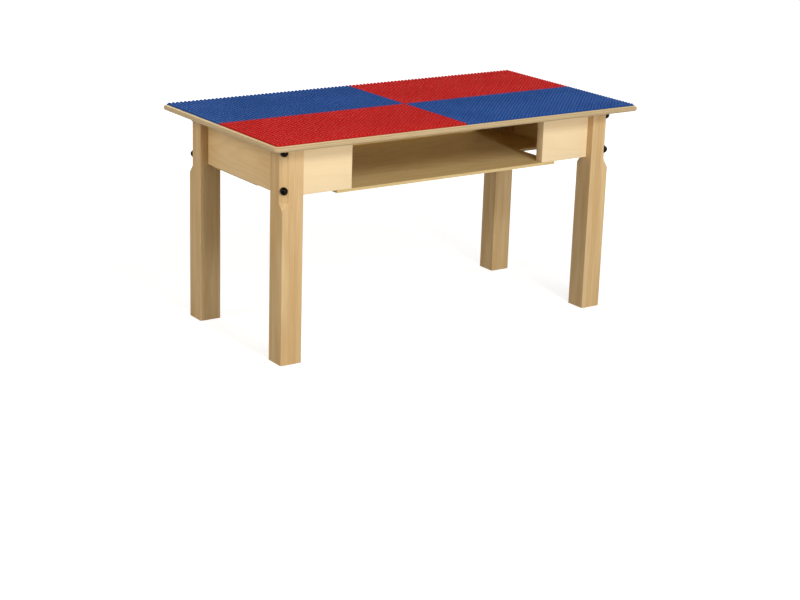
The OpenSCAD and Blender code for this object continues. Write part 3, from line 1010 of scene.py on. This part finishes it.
@dataclass
class Aprons:
    """End and back aprons and the two front panels, all of birch plywood."""

    ease: float = 0.0008
    core: float = 0.0002
    facets: int = 3
    first_seed: int = 21
    left: Plywood = Plywood(
        face=(0.775, 0.565, 0.310),
        shade=(0.675, 0.460, 0.226),
        flat=Axis.X,
        grain=Axis.Y,
        figure=0.36,
    )
    # the right apron's paler veneer is painted light on its inside face in the storage bay
    right: Plywood = replace(left, face=(0.870, 0.670, 0.370), shade=(0.780, 0.570, 0.280))
    back: Plywood = Plywood(face=(0.820, 0.600, 0.260), shade=(0.720, 0.500, 0.180))
    # pale edge plies: partly the birch's end grain, partly painted light on the panel ends inside
    # the bay
    front: Plywood = Plywood(
        face=(0.840, 0.657, 0.402),
        shade=(0.788, 0.590, 0.342),
        cross=(0.920, 0.790, 0.550),
        glue=(0.600, 0.420, 0.220),
        edge_contrast=0.60,
        edge_tone=1.0,
    )

    def board(self, node: str, name: str, finish: Plywood, seed: int) -> None:
        """Builds one apron or panel in the place of its solid.

        Args:
            node: the solid that it stands for.
            name: the new piece's name.
            finish: its plywood.
            seed: its number.
        """
        low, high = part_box(node)
        profile = eased(low.z, high.z, self.ease - self.core, self.facets)
        piece = ringed_board(name, low, high, self.core, profile, self.facets)
        across = finish.flat.value
        material = finish.material(name + "_birch", seed, low[across], high[across] - low[across])
        stand_in(piece, node, material)

    def build(self) -> None:
        """Builds and dresses the five boards."""
        boards = (
            ("end_apron_left", "left_apron", self.left),
            ("end_apron_right", "right_apron", self.right),
            ("back_apron", "rear_apron", self.back),
            ("front_panel_left", "bay_panel_left", self.front),
            ("front_panel_right", "bay_panel_right", self.front),
        )
        for seed, (node, name, finish) in enumerate(boards, self.first_seed):
            self.board(node, name, finish, seed)


@dataclass
class Shelf:
    """Thin birch shelf that closes the storage bay from below."""

    seed: int = 31
    finish: Plywood = Plywood(
        face=(0.720, 0.545, 0.268),
        shade=(0.610, 0.438, 0.184),
        flat=Axis.Z,
        grain=Axis.X,
        plies=5,
        edge_contrast=0.25,
        figure=0.45,
    )

    def build(self) -> None:
        """Dresses the shelf."""
        low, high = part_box("storage_shelf")
        thick = high.z - low.z
        material = self.finish.material("shelf_birch_board", self.seed, low.z, thick)
        dress("storage_shelf", material)


@dataclass
class Joinery:
    """Corner blocks and cleats of plain softwood, out of sight under the top."""

    softwood: SolidWood = SolidWood(
        pale=(0.640, 0.440, 0.220),
        warm=(0.560, 0.350, 0.150),
        late=(0.380, 0.200, 0.070),
        ring=0.0046,
        ring_strength=0.5,
        roughness=0.62,
        coat=0.0,
    )
    first_block_seed: int = 51
    first_cleat_seed: int = 61
    cleats: tuple[tuple[str, Axis], ...] = (
        ("left", Axis.Y),
        ("right", Axis.Y),
        ("back", Axis.X),
        ("front_left", Axis.X),
        ("front_right", Axis.X),
    )

    def piece(self, node: str, grain: Axis, seed: int) -> None:
        """Dresses one piece in unfinished softwood with its grain along an axis."""
        wood = replace(self.softwood, grain=grain)
        dress(node, wood.material(node + "_wood", seed, middle_of(node)))

    def build(self) -> None:
        """Dresses the blocks, whose grain stands upright, and the cleats."""
        for seed, corner in enumerate(CORNERS, self.first_block_seed):
            self.piece("corner_block_" + corner, Axis.Z, seed)
        for seed, (side, grain) in enumerate(self.cleats, self.first_cleat_seed):
            self.piece("top_cleat_" + side, grain, seed)


@dataclass
class Hardware:
    """Leg bolts with their nuts and washers, and the wood screws."""

    first_seed: int = 71
    black: PlatedSteel = PlatedSteel((0.011, 0.009, 0.007), (0.005, 0.004, 0.003), 0.34)
    zinc: PlatedSteel = PlatedSteel((0.360, 0.360, 0.350), (0.260, 0.260, 0.255), 0.48)
    yellow: PlatedSteel = PlatedSteel((0.640, 0.500, 0.240), (0.500, 0.380, 0.170))
    black_nodes: tuple[str, ...] = ("leg_bolts",)
    zinc_nodes: tuple[str, ...] = ("leg_bolt_washers", "leg_bolt_nuts")
    yellow_nodes: tuple[str, ...] = (
        "block_screws", "cleat_side_screws", "cleat_top_screws", "shelf_screws",
    )

    def build(self) -> None:
        """Dresses the metal pieces, those of one plating in one material."""
        platings = (
            ("black_plated_bolt", self.black, self.black_nodes),
            ("bright_zinc", self.zinc, self.zinc_nodes),
            ("yellow_zinc", self.yellow, self.yellow_nodes),
        )
        for seed, (name, plating, nodes) in enumerate(platings, self.first_seed):
            material = plating.material(name, seed)
            for node in nodes:
                dress(node, material)


# ---- studio ----


@dataclass(frozen=True)
class SoftBox:
    """A rectangular lamp that faces the table.

    Its bearing is measured from straight in front towards the right, and its elevation
    from level, both in degrees; its sizes are in metres and its power in watts.
    """

    name: str
    bearing: float
    elevation: float
    width: float
    height: float
    power: float
    distance: float = 2.9
    colour: Colour = WHITE

    def direction(self) -> Vector:
        """The way from the table to the lamp, one metre long."""
        turn, rise = math.radians(self.bearing), math.radians(self.elevation)
        level = math.cos(rise)
        return Vector((level * math.sin(turn), -level * math.cos(turn), math.sin(rise)))


@dataclass
class Studio:
    """White floor, soft light and the photograph's camera.

    The camera's sensor is in millimetres, as its lens is, and its three angles are in
    radians: azimuth from straight ahead towards the right, elevation downwards, and roll.
    """

    floor_half: float = 30.0
    floor_colour: Colour = (0.42, 0.43, 0.45)
    floor_lift: float = 0.75
    floor_near: float = 0.5
    floor_far: float = 1.6
    floor_roughness: float = 0.9
    ambient: float = 0.17
    fill: Colour = (1.0, 0.93, 0.76)
    aim: Triple = (0.0, -0.05, 0.30)
    lamps: tuple[SoftBox, ...] = (
        SoftBox("front_high_box", -7.0, 33.0, 2.4, 0.7, 39.0),
        SoftBox("front_low_box", -7.0, 11.0, 0.2, 0.8, 37.0),
        SoftBox("left_box", -99.0, 24.0, 0.7, 0.7, 9.3, 1.7, (1.0, 0.92, 0.76)),
        SoftBox("far_right_box", 100.0, 18.0, 0.7, 0.7, 6.5, 1.7),
        SoftBox("rear_box", 176.0, 12.0, 0.9, 0.9, 24.0),
    )
    lens: float = 81.518
    sensor: float = 36.0
    sight: Pair = (0.05, 200.0)
    camera_place: Triple = (-1.8592966, -2.6568438, 1.0426495)
    azimuth: float = 0.6114842
    elevation: float = 0.3055825
    roll: float = 0.0320737

    def white_rays(self, graph: Graph) -> Value:
        """1 for rays that see the background itself, straight or mirrored."""
        path = graph.node("ShaderNodeLightPath", {}, {}, "Is Camera Ray")
        seen = path + path.output("Is Glossy Ray") + path.output("Is Transmission Ray")
        return seen.held(0.0, 1.0)

    def floor(self) -> None:
        """A wide floor that is white to the camera where nothing shades it.

        What it adds for the camera grows from floor_lift under the table to 1 at the
        distance floor_far, so that the floor stays white where the lamps don't reach.
        """
        corners = np.array([[-1, -1, 0], [1, -1, 0], [1, 1, 0], [-1, 1, 0]])
        piece = shell("studio_floor", corners * self.floor_half, [np.array([[0, 1, 2, 3]])])
        graph = Graph(bpy.data.materials.new("studio_floor_white"))
        away = graph.length(graph.place()).step_up(self.floor_near, self.floor_far)
        lift = self.floor_lift + away * (1.0 - self.floor_lift)
        material = graph.finish(
            Base_Color=self.floor_colour,
            Roughness=self.floor_roughness,
            Specular_IOR_Level=0.0,
            Emission_Color=graph.mix(self.white_rays(graph) * lift, BLACK, WHITE),
            Emission_Strength=1.0,
        )
        piece.data.materials.append(material)

    def world(self) -> None:
        """Even light all round, a little warm, that the camera and reflections see as white."""
        world = bpy.data.worlds.new("studio_world")
        bpy.context.scene.world = world
        graph = Graph(world)
        backdrop = graph.tree.nodes["Background"]
        white = self.white_rays(graph)
        graph.feed(backdrop.inputs["Color"], graph.mix(white, self.fill, WHITE))
        graph.feed(backdrop.inputs["Strength"], self.ambient + white * (1.0 - self.ambient))

    def lights(self) -> None:
        """Puts up every lamp and turns it to the table."""
        for box in self.lamps:
            data = bpy.data.lights.new(box.name, "AREA")
            data.shape = "RECTANGLE"
            data.size, data.size_y = box.width, box.height
            data.energy = box.power
            data.color = box.colour
            lamp = bpy.data.objects.new(box.name, data)
            away = box.direction() * box.distance
            lamp.location = Vector(self.aim) + away
            lamp.rotation_euler = (-away).to_track_quat("-Z", "Y").to_euler()
            bpy.context.scene.collection.objects.link(lamp)

    def camera(self) -> None:
        """The photograph's camera: its place, bearing, tilt, roll and lens."""
        data = bpy.data.cameras.new("photo_camera")
        data.sensor_width = self.sensor
        data.lens = self.lens
        data.clip_start, data.clip_end = self.sight
        ahead = Vector((
            math.sin(self.azimuth) * math.cos(self.elevation),
            math.cos(self.azimuth) * math.cos(self.elevation),
            -math.sin(self.elevation),
        ))
        level = Vector((math.cos(self.azimuth), -math.sin(self.azimuth), 0.0))
        upright = level.cross(ahead)
        right = level * math.cos(self.roll) + upright * math.sin(self.roll)
        up = upright * math.cos(self.roll) - level * math.sin(self.roll)
        camera = bpy.data.objects.new("photo_camera", data)
        turned = Matrix((right, up, -ahead)).transposed().to_4x4()
        camera.matrix_world = Matrix.Translation(self.camera_place) @ turned
        bpy.context.scene.collection.objects.link(camera)
        bpy.context.scene.camera = camera

    def build(self) -> None:
        """Sets the floor, the world, the lamps and the camera."""
        self.floor()
        self.world()
        self.lights()
        self.camera()
        bpy.context.scene.view_settings.view_transform = "Standard"


def main() -> None:
    """Builds the table's looks from the top down, then the studio."""
    logging.basicConfig(level=logging.INFO, format="%(name)s: %(message)s")
    for part in (StuddedPlates(), Tabletop(), Legs(), Aprons(), Shelf(), Joinery(), Hardware()):
        part.build()
        log.info("finished %s", type(part).__name__)
    Studio().build()


if __name__ == "__main__":
    main()
